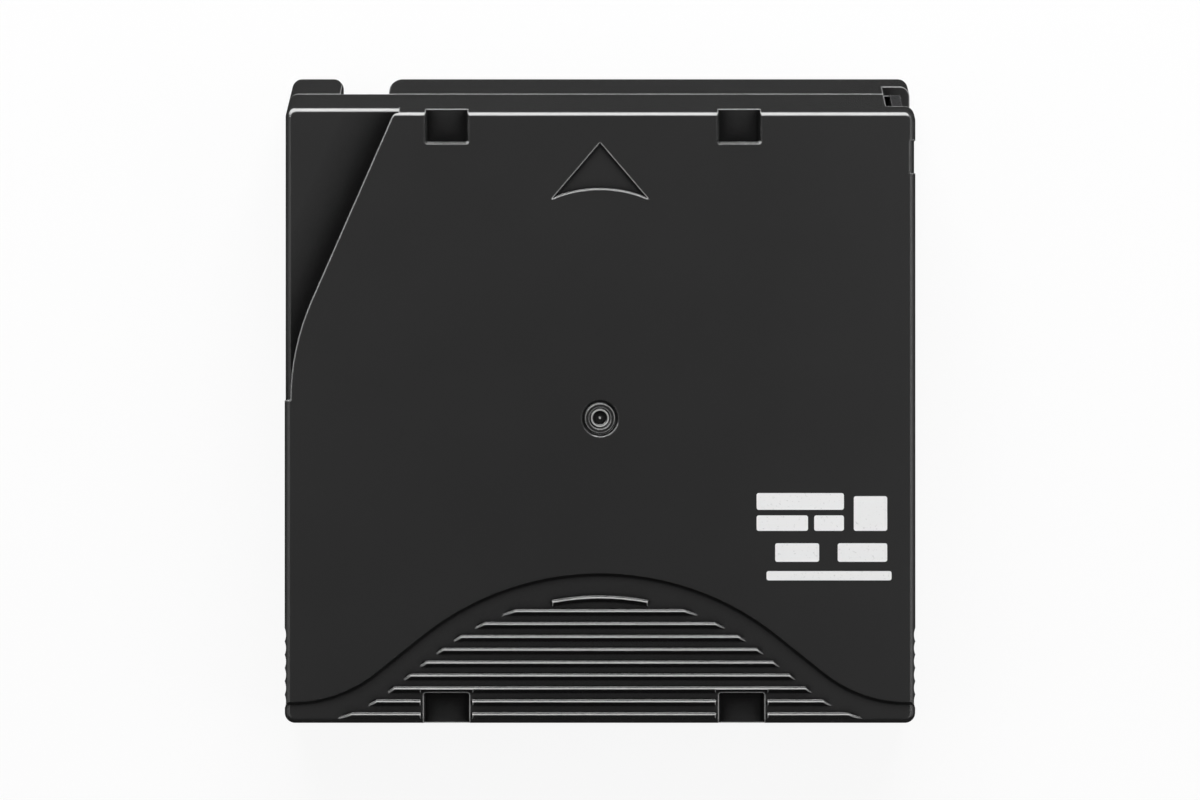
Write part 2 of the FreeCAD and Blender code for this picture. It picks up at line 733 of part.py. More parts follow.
# Brake button
tip_z = floor_top_z + brake_mesh_gap
root_z = tip_z + brake_tooth_height
brake = rod(brake_radius, root_z, brake_disc_top_z, 0, reel_y)
nub = Part.makeCone(*nub_radii, root_z - pad_z[1] - nothing, V(0, reel_y, pad_z[1] + nothing), UP)
brake_parts = [nub, rod(tower_radius, brake_disc_top_z - overlap, tower_top_z, 0, reel_y)]
for index in range(brake_teeth):
    angle = (index + 0.5) * 360.0 / brake_teeth
    tip_half, root_half = brake_tooth_halves
    brake_parts.append(tooth(tip_half, tip_z, root_half, root_z + nothing, brake_ring, angle))
brake = joined(brake, brake_parts)
socket_z = key_bottom_z - brake_lift - key_clearance
socket_halves = [half + key_clearance for half in key_half]
save("brake_button", brake.cut(cross(*socket_halves, socket_z, height)))

# Release pad
pad = rod(pad_disc_radius, *pad_z, 0, 0)
pad_parts = []
for angle in arm_angles:
    arm = box(0, pad_arm_reach, -pad_arm_half, pad_arm_half, *pad_z)
    arm = arm.fuse(rod(pad_leg_radius, pad_leg_bottom_z, pad_z[0] + overlap, pad_leg_place, 0))
    arm.rotate(V(0, 0, 0), UP, angle)
    pad_parts.append(arm)
pad = joined(pad, pad_parts)
pad.translate(V(0, reel_y, 0))
save("release_pad", pad)


def coil(radius, wire, length, turns, steps):
    """A coil spring standing on z = 0, of square wire in short straight runs."""
    half = wire / 2
    rise = (length - wire) / (turns * steps)
    stations = []
    for index in range(int(turns * steps) + 1):
        angle = 2 * math.pi * index / steps
        stations.append(V(radius * math.cos(angle), radius * math.sin(angle), half + index * rise))
    corners = [V(radius - half, 0, 0), V(radius + half, 0, 0), V(radius + half, 0, wire), V(radius - half, 0, wire)]
    sweep = Part.BRepOffsetAPI.MakePipeShell(Part.makePolygon(stations))
    sweep.setTransitionMode(1)
    sweep.add(Part.makePolygon(corners + corners[:1]))
    sweep.build()
    sweep.makeSolid()
    return sweep.shape()


brake_spring = coil(
    brake_spring_radius,
    brake_spring_wire,
    ceiling_z - brake_disc_top_z - 3 * nothing,
    brake_spring_turns,
    brake_spring_steps,
)
brake_spring.translate(V(0, reel_y, brake_disc_top_z + nothing))
save("brake_spring", brake_spring)

# Door: a plate with a lug for its spring and a tab behind the window
door = box(*door_x, *door_y, *door_z).common(slab(wall + door_play, 0, height))
lug = box(lug_x, door_x[0] + overlap, *lug_y, *lug_z)
tab = box(tab_x, door_x[1], nose_top_y - tab_length, big, *tab_z).common(slab(tab_setback, 0, height))
peg_radius = door_spring_radius - door_spring_wire / 2 - peg_play
peg = Part.makeCylinder(peg_radius, peg_length + overlap, V(door_spring_x, lug_y[0] - peg_length, door_spring_z), V(0, 1, 0))
save("tape_door", joined(door, [lug, tab, peg]))

spring_length = lug_y[0] - spring_stop_y[1] - 2 * nothing
door_spring = coil(door_spring_radius, door_spring_wire, spring_length, door_spring_turns, door_spring_steps)
door_spring.rotate(V(0, 0, 0), V(1, 0, 0), -90)
door_spring.translate(V(door_spring_x, spring_stop_y[1] + nothing, door_spring_z))
save("door_spring", door_spring)

# Leader pin: a shaft between two flanges, with a knob at each end
pin_profile = [(0, pin_knob_z[0]), (pin_knob_radius, pin_knob_z[0]), (pin_knob_radius, pin_flange_z[0])]
pin_profile += [(pin_flange_radius, pin_flange_z[0]), (pin_flange_radius, pin_shaft_z[0])]
pin_profile += [(pin_radius, pin_shaft_z[0]), (pin_radius, pin_shaft_z[1]), (pin_flange_radius, pin_shaft_z[1])]
pin_profile += [(pin_flange_radius, pin_flange_z[1]), (pin_knob_radius, pin_flange_z[1])]
pin_profile += [(pin_knob_radius, pin_knob_z[1]), (0, pin_knob_z[1])]
save("leader_pin", turned(pin_profile, px, py))

# Leader: straight from the outside of the pack to the pin, on the front side of both
pack_side = pack_radius + leader_gap + leader_thickness / 2
pin_side = pin_radius + leader_lift + leader_thickness / 2
reach = math.hypot(px, py - reel_y)
normal_angle = math.atan2(py - reel_y, px) + math.acos((pack_side - pin_side) / reach)
normal = V(math.cos(normal_angle), math.sin(normal_angle), 0)
along = V(normal.y, -normal.x, 0)
leader_start = V(0, reel_y, 0) + normal * pack_side
leader_end = V(px, py, 0) + normal * pin_side
half_leader = leader_thickness / 2
ends = [leader_start - normal * half_leader, leader_end - normal * half_leader]
ends += [leader_end + normal * half_leader, leader_start + normal * half_leader]
leader = prism([(p.x, p.y) for p in ends], tape_bottom_z, tape_bottom_z + tape_width)
save("leader_tape", leader)

# Clip on the pin, with a slot for the leader
clip = ring(pin_radius + clip_clearance, clip_radius, tape_bottom_z, tape_bottom_z + tape_width, px, py)
near_side = -2 * clip_radius
slot_low = pin_radius + clip_clearance
slot_high = pin_side + half_leader + clip_clearance
slot_points = [(near_side, slot_low), (clip_slot_reach, slot_low), (clip_slot_reach, slot_high), (near_side, slot_high)]
mouth_start, mouth_end, mouth_half = clip_mouth
mouth_points = [(mouth_start, 0), (mouth_end, -mouth_half), (mouth_end, mouth_half)]
pin_axis = V(px, py, 0)
for points in (slot_points, mouth_points):
    corners = [pin_axis + along * a + normal * n for a, n in points]
    clip = clip.cut(prism([(p.x, p.y) for p in corners], 0, height))
save("leader_clip", max(clip.Solids, key=lambda solid: solid.Volume))

# Retaining spring: a bent leaf with one arm for each end of the pin
bends = [V(px + x, py + y, 0) for x, y in leaf_steps]
sides = []
for index, point in enumerate(bends):
    before = bends[max(index - 1, 0)]
    after = bends[min(index + 1, len(bends) - 1)]
    heading = (after - before).normalize()
    sides.append(V(-heading.y, heading.x, 0) * (leaf_thickness / 2))
left = [p + s for p, s in zip(bends, sides)]
right = [p - s for p, s in zip(bends, sides)]
outline = [(p.x, p.y) for p in left + right[::-1]]
leaf = prism(outline, leaf_z[0], leaf_z[3])
leaf = leaf.cut(box(bends[1].x + leaf_web, big, 0, big, leaf_z[1], leaf_z[2]))
save("pin_retaining_spring", leaf)

# Write-protect slider
slider = box(*slider_x, *slider_y, *slider_z)
slider_tab = box(
    *slider_tab_x,
    slider_tab_y,
    slider_y[0] + overlap,
    protect_window_z[0] + slider_tab_margin,
    protect_window_z[1] - slider_tab_margin,
)
thumb_x = (slider_tab_x[0] + slider_tab_x[1]) / 2
thumb_width, thumb_depth = thumb_slot
thumb = box(thumb_x - thumb_width / 2, thumb_x + thumb_width / 2, -big, slider_tab_y + thumb_depth, 0, big)
save("write_protect_slider", joined(slider, [slider_tab]).cut(thumb))


# Memory board at 45 degrees, with its coil on the rear face and its chip on the front face
def on_board(shape):
    shape.rotate(V(0, 0, 0), V(1, 0, 0), -45)
    shape.translate(V(*board_centre))
    return shape


def plate(size_x, size_y, z0, z1):
    return box(-size_x / 2, size_x / 2, -size_y / 2, size_y / 2, z0, z1)


board_half = board_size[2] / 2
save("memory_board", on_board(plate(board_size[0], board_size[1], -board_half, board_half)))
coil_outer = plate(coil_size[0], coil_size[1], -board_half - coil_size[2], -board_half)
coil_inner = plate(coil_size[0] - 2 * coil_band, coil_size[1] - 2 * coil_band, -board_half - 1, 0)
save("memory_coil", on_board(coil_outer.cut(coil_inner)))
save("memory_chip", on_board(plate(chip_size, chip_size, board_half, board_half + chip_thickness)))
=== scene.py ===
import math
import bmesh
import bpy
from mathutils import Matrix, Vector


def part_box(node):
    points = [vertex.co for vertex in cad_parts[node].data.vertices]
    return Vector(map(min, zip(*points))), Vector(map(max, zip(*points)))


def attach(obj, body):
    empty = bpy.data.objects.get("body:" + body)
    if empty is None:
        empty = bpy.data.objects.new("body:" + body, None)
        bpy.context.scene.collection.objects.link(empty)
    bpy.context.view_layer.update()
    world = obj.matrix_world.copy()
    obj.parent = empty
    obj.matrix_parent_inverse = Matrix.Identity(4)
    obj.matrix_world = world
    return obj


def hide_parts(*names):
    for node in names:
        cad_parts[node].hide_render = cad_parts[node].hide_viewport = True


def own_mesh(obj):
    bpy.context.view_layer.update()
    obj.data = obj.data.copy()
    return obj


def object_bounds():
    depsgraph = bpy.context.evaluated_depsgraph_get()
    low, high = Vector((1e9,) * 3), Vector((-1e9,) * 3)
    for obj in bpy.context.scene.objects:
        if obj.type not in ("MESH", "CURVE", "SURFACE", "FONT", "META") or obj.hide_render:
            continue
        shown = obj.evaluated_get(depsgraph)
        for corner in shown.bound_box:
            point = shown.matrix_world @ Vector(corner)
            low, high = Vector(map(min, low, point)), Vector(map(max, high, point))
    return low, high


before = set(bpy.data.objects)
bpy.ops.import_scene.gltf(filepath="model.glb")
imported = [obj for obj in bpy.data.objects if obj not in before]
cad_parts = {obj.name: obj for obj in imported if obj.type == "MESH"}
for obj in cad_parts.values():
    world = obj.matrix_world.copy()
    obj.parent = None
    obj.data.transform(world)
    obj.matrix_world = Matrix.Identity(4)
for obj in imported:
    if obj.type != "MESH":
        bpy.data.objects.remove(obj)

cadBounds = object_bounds()
mm = 0.001


def linear(hexColour):
    shades = [int(hexColour[i:i + 2], 16) / 255 for i in (0, 2, 4)]
    return [s / 12.92 if s <= 0.04045 else ((s + 0.055) / 1.055) ** 2.4 for s in shades] + [1.0]


def addNode(tree, kind, settings=None, links=None):
    node = tree.nodes.new(kind)
    for name, value in (settings or {}).items():
        if isinstance(name, str) and hasattr(node, name):
            setattr(node, name, value)
        else:
            node.inputs[name].default_value = value
    for name, source in (links or {}).items():
        tree.links.new(source, node.inputs[name])
    return node


def newMaterial(name):
    material = bpy.data.materials.new(name)
    material.use_nodes = True
    tree = material.node_tree
    tree.nodes.clear()
    shader = addNode(tree, "ShaderNodeBsdfPrincipled")
    addNode(tree, "ShaderNodeOutputMaterial", links={"Surface": shader.outputs["BSDF"]})
    place = addNode(tree, "ShaderNodeTexCoord").outputs["Object"]
    return material, tree, shader, place


# Moulded plastic: the mould's spark-eroded skin is a fine grain, the flow of the melt leaves faint clouds in
# the colour, handling rubs the edges glossier, the lighter edge colour is partly rubbed wear and partly painted
# highlight, and recesses get painted shade
def mouldedPlastic(name, look):
    material, tree, shader, place = newMaterial(name)
    shader.inputs["IOR"].default_value = look["ior"]
    shader.inputs["Specular IOR Level"].default_value = look["specular"]
    cloud = addNode(tree, "ShaderNodeTexNoise",
                    {"Scale": 1 / (look["cloudSize"] * mm), "Detail": 3.0}, {"Vector": place})
    grain = addNode(tree, "ShaderNodeTexNoise",
                    {"Scale": 1 / (look["grainSize"] * mm), "Detail": 2.0}, {"Vector": place})
    tint = addNode(tree, "ShaderNodeMix",
                   {"data_type": "RGBA", 6: linear(look["colour"]), 7: linear(look["cloud"])},
                   {0: cloud.outputs["Fac"]})
    # painted shade: where ambient occlusion finds the surface sheltered, the colour is mixed towards a dark one
    shadeOcclusion = addNode(tree, "ShaderNodeAmbientOcclusion",
                      {"samples": 6, "only_local": True, "Distance": look["recessReach"] * mm})
    openSpace, closeSpace = look["recessOpenness"]
    rangeMap = addNode(tree, "ShaderNodeMapRange",
                   {"interpolation_type": "SMOOTHSTEP", "From Min": openSpace, "From Max": closeSpace,
                    "To Max": look["recessDepth"]},
                   {"Value": shadeOcclusion.outputs["AO"]})
    paintedShadeMix = addNode(tree, "ShaderNodeMix", {"data_type": "RGBA", 7: linear(look["recess"])},
                   {0: rangeMap.outputs["Result"], 6: tint.outputs[2]})
    # convex edges, found by ambient occlusion from inside, are mixed towards a light colour: partly rubbed
    # wear, partly painted highlight
    corner = addNode(tree, "ShaderNodeAmbientOcclusion",
                     {"samples": 6, "inside": True, "only_local": True, "Distance": look["edgeReach"] * mm})
    blunt, keen = look["edgeKeenness"]
    edge = addNode(tree, "ShaderNodeMapRange", {"From Min": blunt, "From Max": keen, "To Max": look["rubAndHighlight"]},
                   {"Value": corner.outputs["AO"]})
    rubbedAndHighlit = addNode(tree, "ShaderNodeMix", {"data_type": "RGBA", 7: linear(look["edge"])},
                     {0: edge.outputs["Result"], 6: paintedShadeMix.outputs[2]})
    rounding = addNode(tree, "ShaderNodeBevel", {"samples": 4, "Radius": look["edgeRadius"] * mm})
    if look["frontHighlightStrength"] > 0:
        # painted highlight: roundings that lean towards the front light are mixed towards a light colour, broad
        # and narrow
        bare = addNode(tree, "ShaderNodeNewGeometry")
        soft, sharp = [addNode(tree, "ShaderNodeVectorMath", {"operation": "DOT_PRODUCT", 1: look["frontLightWay"]},
                               {0: source.outputs["Normal"]}) for source in (rounding, bare)]
        lean = addNode(tree, "ShaderNodeMath", {"operation": "MAXIMUM"},
                       {0: soft.outputs["Value"], 1: sharp.outputs["Value"]})
        level, leaning = look["frontHighlightLean"]
        frontHighlightMask = addNode(tree, "ShaderNodeMapRange",
                       {"From Min": level, "From Max": leaning, "To Max": look["frontHighlightStrength"]},
                       {"Value": lean.outputs[0]})
        rubbedAndHighlit = addNode(tree, "ShaderNodeMix", {"data_type": "RGBA", 7: linear(look["frontHighlightColour"])},
                         {0: frontHighlightMask.outputs["Result"], 6: rubbedAndHighlit.outputs[2]})
    tree.links.new(rubbedAndHighlit.outputs[2], shader.inputs["Base Color"])
    skin = addNode(tree, "ShaderNodeMapRange", {"To Min": look["roughness"][0], "To Max": look["roughness"][1]},
                   {"Value": grain.outputs["Fac"]})
    polish = addNode(tree, "ShaderNodeMix", {"data_type": "FLOAT", 3: look["edgeRoughness"]},
                     {0: edge.outputs["Result"], 2: skin.outputs["Result"]})
    tree.links.new(polish.outputs[0], shader.inputs["Roughness"])
    bump = addNode(tree, "ShaderNodeBump",
                   {"Strength": look["grainStrength"], "Distance": look["grainDepth"] * mm},
                   {"Height": grain.outputs["Fac"], "Normal": rounding.outputs["Normal"]})
    tree.links.new(bump.outputs["Normal"], shader.inputs["Normal"])
    return material


# Metal worked along one direction: scratches are long one way and fine the other
def workedMetal(name, look):
    material, tree, shader, place = newMaterial(name)
    shader.inputs["Metallic"].default_value = 1.0
    if "centre" in look:
        # turned or pressed round a centre: the pattern runs along the radius
        x, y = look["centre"]
        moved = addNode(tree, "ShaderNodeVectorMath", {"operation": "SUBTRACT", 1: (x, y, 0.0)}, {0: place})
        flat = addNode(tree, "ShaderNodeVectorMath", {"operation": "MULTIPLY", 1: (1.0, 1.0, 0.0)},
                       {0: moved.outputs[0]})
        reach = addNode(tree, "ShaderNodeVectorMath", {"operation": "LENGTH"}, {0: flat.outputs[0]})
        place = addNode(tree, "ShaderNodeCombineXYZ", links={"X": reach.outputs["Value"]}).outputs["Vector"]
    stretched = addNode(tree, "ShaderNodeMapping", {"Scale": look["stretch"]}, {"Vector": place})
    lines = addNode(tree, "ShaderNodeTexNoise", {"Scale": 1 / (look["lineWidth"] * mm), "Detail": 3.0},
                    {"Vector": stretched.outputs["Vector"]})
    tint = addNode(tree, "ShaderNodeMix",
                   {"data_type": "RGBA", 6: linear(look["colour"]), 7: linear(look["dark"])},
                   {0: lines.outputs["Fac"]})
    tree.links.new(tint.outputs[2], shader.inputs["Base Color"])
    rangeMap = addNode(tree, "ShaderNodeMapRange", {"To Min": look["roughness"][0], "To Max": look["roughness"][1]},
                   {"Value": lines.outputs["Fac"]})
    tree.links.new(rangeMap.outputs["Result"], shader.inputs["Roughness"])
    rounding = addNode(tree, "ShaderNodeBevel", {"samples": 4, "Radius": look["edgeRadius"] * mm})
    bump = addNode(tree, "ShaderNodeBump",
                   {"Strength": look["lineStrength"], "Distance": look["lineDepth"] * mm},
                   {"Height": lines.outputs["Fac"], "Normal": rounding.outputs["Normal"]})
    tree.links.new(bump.outputs["Normal"], shader.inputs["Normal"])
    return material


# Wound polyester film: dark and smooth, with the edges of the turns as fine rings
def woundFilm(name, look):
    material, tree, shader, place = newMaterial(name)
    shader.inputs["IOR"].default_value = look["ior"]
    x, y = look["centre"]
    moved = addNode(tree, "ShaderNodeVectorMath", {"operation": "SUBTRACT", 1: (x, y, 0.0)}, {0: place})
    flat = addNode(tree, "ShaderNodeVectorMath", {"operation": "MULTIPLY", 1: (1.0, 1.0, 0.0)},
                   {0: moved.outputs[0]})
    reach = addNode(tree, "ShaderNodeVectorMath", {"operation": "LENGTH"}, {0: flat.outputs[0]})
    rings = addNode(tree, "ShaderNodeTexNoise",
                    {"noise_dimensions": "1D", "Scale": 1 / (look["ringWidth"] * mm), "Detail": 4.0},
                    {"W": reach.outputs["Value"]})
    tint = addNode(tree, "ShaderNodeMix",
                   {"data_type": "RGBA", 6: linear(look["colour"]), 7: linear(look["ring"])},
                   {0: rings.outputs["Fac"]})
    tree.links.new(tint.outputs[2], shader.inputs["Base Color"])
    rangeMap = addNode(tree, "ShaderNodeMapRange", {"To Min": look["roughness"][0], "To Max": look["roughness"][1]},
                   {"Value": rings.outputs["Fac"]})
    tree.links.new(rangeMap.outputs["Result"], shader.inputs["Roughness"])
    bump = addNode(tree, "ShaderNodeBump",
                   {"Strength": look["ringStrength"], "Distance": look["ringDepth"] * mm},
                   {"Height": rings.outputs["Fac"]})
    tree.links.new(bump.outputs["Normal"], shader.inputs["Normal"])
    return material


hubLow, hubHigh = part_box("reel_hub")
reelCentre = ((hubLow[0] + hubHigh[0]) / 2, (hubLow[1] + hubHigh[1]) / 2)

# Black ABS and polycarbonate blend, moulded with a fine satin grain; sizes, depths and reaches in mm
caseLook = {
    "colour": "272727", "cloud": "2b2b2b", "ior": 1.5, "specular": 0.3, "roughness": (0.21, 0.27),
    "cloudSize": 18.0, "grainSize": 0.22, "grainDepth": 0.004, "grainStrength": 0.35,
    # the edge colour is partly rubbed wear and partly painted highlight
    "edge": "cccccc", "edgeRoughness": 0.2, "edgeRadius": 0.3, "edgeReach": 0.3, "edgeKeenness": (0.82, 0.5),
    "rubAndHighlight": 0.8,
    # painted shade in recesses: its dark colour, reach and strength
    "recess": "020202", "recessReach": 8.0, "recessOpenness": (0.985, 0.83), "recessDepth": 0.98,
    # painted highlight on roundings that lean towards the front light
    "frontHighlightColour": "d8d8d8", "frontHighlightStrength": 0.72, "frontLightWay": (-0.15, 0.34, 0.93), "frontHighlightLean": (0.942, 0.972),
}
# Dark grey ABS, the same grain, a shade lighter than the case
doorLook = dict(caseLook, colour="303031", cloud="353536", edge="777777", frontHighlightStrength=0)
# Natural off-white polycarbonate, polished by the mould where the tape winds
# the recess colours of this look and of those below are painted shade
hubLook = dict(caseLook, colour="cfccc0", cloud="d6d3c8", edge="e4e2da", recess="8f8b7e", ior=1.58,
               specular=0.5, grainSize=0.4, roughness=(0.34, 0.42), recessDepth=0.6, rubAndHighlight=0.5, frontHighlightStrength=0)
flangeLook = dict(hubLook, colour="d4d2c6", cloud="dad8ce", roughness=(0.14, 0.2), grainStrength=0.1)
# Acetal: waxy, a little duller than polycarbonate
brakeLook = dict(hubLook, colour="bab7a9", cloud="c2bfb2", ior=1.48, roughness=(0.4, 0.5))
padLook = dict(hubLook, colour="e0ded4", cloud="e6e4db", ior=1.48, roughness=(0.4, 0.48))
clipLook = dict(doorLook, specular=0.5, colour="29292b", cloud="2e2e30", edge="505052", ior=1.48, grainSize=0.3)
sliderLook = dict(doorLook, colour="c23a1c", cloud="c9411f", edge="dd6a48", recess="6e1c0c", specular=0.5,
                  grainSize=0.3, recessDepth=0.6, rubAndHighlight=0.4)
# Glass-filled laminate: the weave is too fine to show, so only its mottle is drawn
boardLook = dict(doorLook, colour="1c5f3a", cloud="246b42", edge="8f9f6a", recess="0e3a22", specular=0.5,
                 grainSize=0.5, ior=1.55)
chipLook = dict(doorLook, colour="161616", cloud="1b1b1b", edge="2c2c2c", grainSize=0.12)

screwLook = {"colour": "4a4a4c", "dark": "39393b", "roughness": (0.3, 0.45), "stretch": (1.0, 1.0, 1.0),
             "lineWidth": 0.15, "lineDepth": 0.004, "lineStrength": 0.4, "edgeRadius": 0.08}
springLook = dict(screwLook, colour="c4c4c2", dark="a8a8a6", roughness=(0.22, 0.34))
pinLook = dict(screwLook, colour="d6d6d4", dark="c6c6c4", roughness=(0.14, 0.24), stretch=(0.05, 0.05, 1.0))
plateLook = dict(screwLook, colour="c9c9c8", dark="b0b0af", roughness=(0.25, 0.38), centre=reelCentre,
                 lineWidth=0.2)
copperLook = dict(screwLook, colour="c98d5e", dark="b67a4c", roughness=(0.28, 0.4), lineWidth=0.3,
                  edgeRadius=0.05)
filmLook = {"colour": "2b231e", "ring": "3a302a", "ringWidth": 0.35, "ringDepth": 0.01, "ringStrength": 0.3,
            "roughness": (0.18, 0.34), "ior": 1.6, "centre": reelCentre}

casePlastic = mouldedPlastic("blackAbsMoulded", caseLook)
materialOf = {
    "top_shell": casePlastic,
    "bottom_shell": casePlastic,
    "tape_door": mouldedPlastic("greyAbsMoulded", doorLook),
    "reel_hub": mouldedPlastic("whitePolycarbonateMoulded", hubLook),
    "upper_flange": mouldedPlastic("whitePolycarbonatePolished", flangeLook),
    "brake_button": mouldedPlastic("naturalAcetalMoulded", brakeLook),
    "release_pad": mouldedPlastic("whiteAcetalMoulded", padLook),
    "leader_clip": mouldedPlastic("greyAcetalMoulded", clipLook),
    "write_protect_slider": mouldedPlastic("redAbsMoulded", sliderLook),
    "memory_board": mouldedPlastic("greenLaminatePressed", boardLook),
    "memory_chip": mouldedPlastic("blackEpoxyMoulded", chipLook),
    "memory_coil": workedMetal("copperFoilEtched", copperLook),
    "leader_pin": workedMetal("stainlessSteelGround", pinLook),
    "pin_retaining_spring": workedMetal("springSteelRolled", springLook),
    "drive_plate": workedMetal("stainlessSteelStamped", plateLook),
    "tape_pack": woundFilm("polyesterFilmWound", filmLook),
}
materialOf["leader_tape"] = materialOf["tape_pack"]
screwSteel = workedMetal("blackOxideSteelTurned", screwLook)
springSteel = workedMetal("springSteelDrawn", springLook)
for number in range(1, 5):
    materialOf["case_screw_%d" % number] = screwSteel
for node, material in materialOf.items():
    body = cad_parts[node]
    body.data.materials.clear()
    body.data.materials.append(material)
print("materials set on", len(materialOf), "nodes")


def newPiece(name, mesh, material, body):
    data = bpy.data.meshes.new(name)
    mesh.to_mesh(data)
    mesh.free()
    piece = bpy.data.objects.new(name, data)
    bpy.context.scene.collection.objects.link(piece)
    data.materials.append(material)
    for face in data.polygons:
        face.use_smooth = True
    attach(piece, body)
    return piece


# White screen-printed marks on the main face: plain bars, as thick as a coat of ink
marks = {"coat": 0.02 * mm, "corner": 0.35 * mm, "bars": (
    # left, right, front, rear in mm
    (25.3, 39.4, -15.5, -18.2), (25.3, 33.6, -19.1, -21.6), (34.6, 39.4, -19.1, -21.6),
    (41.0, 46.4, -16.0, -21.6), (28.3, 35.4, -23.6, -26.6), (38.4, 46.4, -23.6, -26.6),
    (26.9, 47.1, -28.1, -29.6),
)}
ink = bmesh.new()
faceHeight = cadBounds[1][2]
for left, right, front, rear in marks["bars"]:
    bar = bmesh.ops.create_cube(ink, size=1.0)["verts"]
    bmesh.ops.scale(ink, verts=bar, vec=((right - left) * mm, (front - rear) * mm, marks["coat"]))
    bmesh.ops.translate(ink, verts=bar, vec=((left + right) / 2 * mm, (front + rear) / 2 * mm,
                                             faceHeight + marks["coat"] / 2))
upright = [edge for edge in ink.edges if abs(edge.verts[0].co.z - edge.verts[1].co.z) > marks["coat"] / 2]
bmesh.ops.bevel(ink, geom=upright, offset=marks["corner"], affect="EDGES", segments=5, profile=0.5, material=-1)
inkLook = {"colour": "ebebeb", "worn": "cfcfcf", "speckle": 0.35, "wornFrom": (0.62, 0.75), "roughness": 0.45}
whiteInk, tree, shader, place = newMaterial("whiteInkScreenPrinted")
thin = addNode(tree, "ShaderNodeTexNoise", {"Scale": 1 / (inkLook["speckle"] * mm), "Detail": 4.0},
               {"Vector": place})
cover = addNode(tree, "ShaderNodeMapRange",
                {"From Min": inkLook["wornFrom"][0], "From Max": inkLook["wornFrom"][1]},
                {"Value": thin.outputs["Fac"]})
tone = addNode(tree, "ShaderNodeMix",
               {"data_type": "RGBA", 6: linear(inkLook["colour"]), 7: linear(inkLook["worn"])},
               {0: cover.outputs["Result"]})
tree.links.new(tone.outputs[2], shader.inputs["Base Color"])
shader.inputs["Roughness"].default_value = inkLook["roughness"]
piece = newPiece("print_marks", ink, whiteInk, "case")
for face in piece.data.polygons:
    face.use_smooth = False
print("marks printed")


# A coil of round wire standing on z = 0, with a closed turn at each end
def coilSpring(look):
    coil = bmesh.new()
    wire = look["wire"]
    pitch = (look["length"] - wire - 2 * wire) / look["openTurns"]
    bmesh.ops.create_circle(coil, segments=look["sides"], radius=wire / 2, cap_ends=True)
    bmesh.ops.rotate(coil, verts=coil.verts, cent=(0, 0, 0), matrix=Matrix.Rotation(math.pi / 2, 3, "X"))
    bmesh.ops.translate(coil, verts=coil.verts, vec=(look["radius"], 0, wire / 2))
    last = coil.faces[:]
    for turns, rise in ((1.0, wire), (look["openTurns"], pitch), (1.0, wire)):
        steps = round(look["steps"] * turns)
        swept = bmesh.ops.spin(coil, geom=last, cent=(0, 0, 0), axis=(0, 0, 1), angle=2 * math.pi * turns,
                               dvec=(0, 0, rise * turns / steps), steps=steps)
        last = [item for item in swept["geom_last"] if isinstance(item, bmesh.types.BMFace)]
    inner = [face for face in coil.faces if len(face.verts) == look["sides"] and face not in last]
    bmesh.ops.delete(coil, geom=inner[1:], context="FACES_ONLY")
    bmesh.ops.remove_doubles(coil, verts=coil.verts, dist=wire * 0.001)
    bmesh.ops.recalc_face_normals(coil, faces=coil.faces)
    return coil


springLow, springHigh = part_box("brake_spring")
brakeSpring = {"wire": 0.8 * mm, "radius": 6.6 * mm, "openTurns": 3.5, "steps": 36, "sides": 12,
               "length": springHigh[2] - springLow[2], "travel": 1.6 * mm}
coil = coilSpring(brakeSpring)
bmesh.ops.translate(coil, verts=coil.verts, vec=(reelCentre[0], reelCentre[1], springLow[2]))
piece = newPiece("brake_coil", coil, springSteel, "case")
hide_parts("brake_spring")
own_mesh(piece)

coilLow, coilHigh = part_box("door_spring")
doorSpring = {"wire": 0.35 * mm, "radius": 0.8 * mm, "openTurns": 14.0, "steps": 24, "sides": 8,
              "length": coilHigh[1] - coilLow[1], "travel": 20 * mm}
coil = coilSpring(doorSpring)
bmesh.ops.rotate(coil, verts=coil.verts, cent=(0, 0, 0), matrix=Matrix.Rotation(-math.pi / 2, 3, "X"))
middle = [(low + high) / 2 for low, high in zip(coilLow, coilHigh)]
bmesh.ops.translate(coil, verts=coil.verts, vec=(middle[0], coilLow[1], middle[2]))
piece = newPiece("door_coil", coil, springSteel, "case")
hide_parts("door_spring")
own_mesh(piece)
print("springs wound")


# Studio: a pale floor, soft lamps and a white backdrop
studio = {"floorSize": 6.0, "floorGap": 0.05 * mm, "floorColour": "f2f2f2", "floorWhiteness": 0.9,
          "floorInGloss": 0.04, "backdropInGloss": 1.0, "roomInGloss": 0.02, "backdropEdge": (0.35, 0.75),
          "ambient": 0.22, "cameraHeight": 0.80, "cameraY": -0.46 * mm, "viewWidth": 193.86 * mm}
low, high = cadBounds
sheet = bmesh.new()
bmesh.ops.create_grid(sheet, x_segments=1, y_segments=1, size=studio["floorSize"] / 2)
bmesh.ops.translate(sheet, verts=sheet.verts, vec=(0, 0, low[2] - studio["floorGap"]))
data = bpy.data.meshes.new("floor")
sheet.to_mesh(data)
sheet.free()
floor = bpy.data.objects.new("floor", data)
bpy.context.scene.collection.objects.link(floor)

material = bpy.data.materials.new("palePaperMatt")
material.use_nodes = True
tree = material.node_tree
tree.nodes.clear()
paper = addNode(tree, "ShaderNodeBsdfDiffuse", {"Color": linear(studio["floorColour"])})
glow = addNode(tree, "ShaderNodeEmission", {"Color": (1, 1, 1, 1), "Strength": 1.0})
path = addNode(tree, "ShaderNodeLightPath")
share = addNode(tree, "ShaderNodeMath", {"operation": "MULTIPLY", 1: studio["floorWhiteness"]},
                {0: path.outputs["Is Camera Ray"]})
lit = addNode(tree, "ShaderNodeMixShader", links={0: share.outputs[0], 1: paper.outputs[0], 2: glow.outputs[0]})
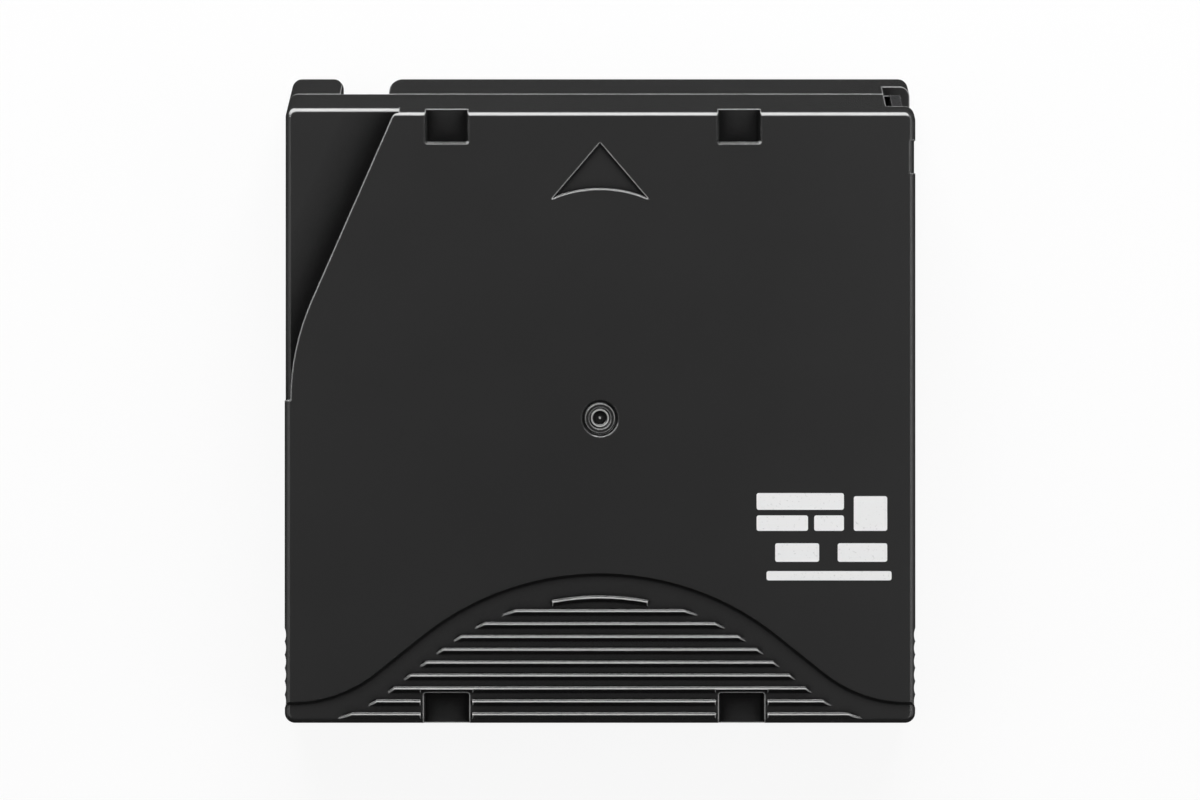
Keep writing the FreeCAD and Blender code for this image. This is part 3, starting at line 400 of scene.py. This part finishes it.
# in gloss and glass the sheet is a dim grey, as with black cards laid round the object
dim = addNode(tree, "ShaderNodeEmission", {"Color": (1, 1, 1, 1), "Strength": studio["floorInGloss"]})
mirrored = addNode(tree, "ShaderNodeMath", {"operation": "MAXIMUM"},
                   {0: path.outputs["Is Glossy Ray"], 1: path.outputs["Is Transmission Ray"]})
seen = addNode(tree, "ShaderNodeMixShader",
               links={0: mirrored.outputs[0], 1: lit.outputs[0], 2: dim.outputs[0]})
addNode(tree, "ShaderNodeOutputMaterial", links={"Surface": seen.outputs[0]})
floor.data.materials.append(material)

world = bpy.data.worlds.new("studioWorld")
bpy.context.scene.world = world
world.use_nodes = True
tree = world.node_tree
tree.nodes.clear()
path = addNode(tree, "ShaderNodeLightPath")
ambient = addNode(tree, "ShaderNodeBackground", {"Color": (1, 1, 1, 1), "Strength": studio["ambient"]})
# in gloss and glass the white backdrop stands on the front side only, and the rest of the room is dark
sky = addNode(tree, "ShaderNodeTexCoord")
direction = addNode(tree, "ShaderNodeSeparateXYZ", links={"Vector": sky.outputs["Generated"]})
front = addNode(tree, "ShaderNodeMapRange",
                {"From Min": studio["backdropEdge"][0], "From Max": studio["backdropEdge"][1],
                 "To Min": studio["roomInGloss"], "To Max": studio["backdropInGloss"]},
                {"Value": direction.outputs["Y"]})
backdrop = addNode(tree, "ShaderNodeBackground", {"Color": (1, 1, 1, 1)}, {"Strength": front.outputs["Result"]})
white = addNode(tree, "ShaderNodeBackground", {"Color": (1, 1, 1, 1), "Strength": 1.0})
mirrored = addNode(tree, "ShaderNodeMath", {"operation": "MAXIMUM"},
                   {0: path.outputs["Is Glossy Ray"], 1: path.outputs["Is Transmission Ray"]})
around = addNode(tree, "ShaderNodeMixShader",
                 links={0: mirrored.outputs[0], 1: ambient.outputs[0], 2: backdrop.outputs[0]})
seen = addNode(tree, "ShaderNodeMixShader",
               links={0: path.outputs["Is Camera Ray"], 1: around.outputs[0], 2: white.outputs[0]})
addNode(tree, "ShaderNodeOutputWorld", links={"Surface": seen.outputs[0]})

# place and size in metres, power in watts
lamps = {
    "frontSoftbox": {"place": (0.0, 0.58, 0.36), "size": (0.6, 0.3), "power": 5.6, "inGloss": False},
    "highGlint": {"place": (0.0, 0.34, 0.48), "size": (0.9, 0.18), "power": 3.6, "onlyGloss": True},
    "rightGlint": {"place": (0.26, 0.0, 0.52), "size": (0.5, 0.12), "power": 1.3, "onlyGloss": True},
    "leftGlint": {"place": (-0.26, 0.0, 0.52), "size": (0.5, 0.12), "power": 0.8, "onlyGloss": True},
    "rightFill": {"place": (0.55, -0.1, 0.35), "size": (0.4, 0.4), "power": 1.0},
    "leftFill": {"place": (-0.55, -0.1, 0.35), "size": (0.4, 0.4), "power": 0.7},
}
for name, settings in lamps.items():
    lampData = bpy.data.lights.new(name, "AREA")
    lampData.shape = "RECTANGLE"
    lampData.size, lampData.size_y = settings["size"]
    lampData.energy = settings["power"]
    lamp = bpy.data.objects.new(name, lampData)
    lamp.location = settings["place"]
    lamp.rotation_euler = (-Vector(settings["place"])).to_track_quat("-Z", "Y").to_euler()
    lamp.visible_diffuse = not settings.get("onlyGloss", False)
    lamp.visible_glossy = settings.get("inGloss", True)
    bpy.context.scene.collection.objects.link(lamp)

cameraData = bpy.data.cameras.new("overheadCamera")
cameraData.sensor_width = 36.0
cameraData.lens = cameraData.sensor_width * studio["cameraHeight"] / studio["viewWidth"]
camera = bpy.data.objects.new("overheadCamera", cameraData)
camera.location = (0.0, studio["cameraY"], high[2] + studio["cameraHeight"])
bpy.context.scene.collection.objects.link(camera)
bpy.context.scene.camera = camera
bpy.context.scene.view_settings.view_transform = "Standard"
print("studio lit")
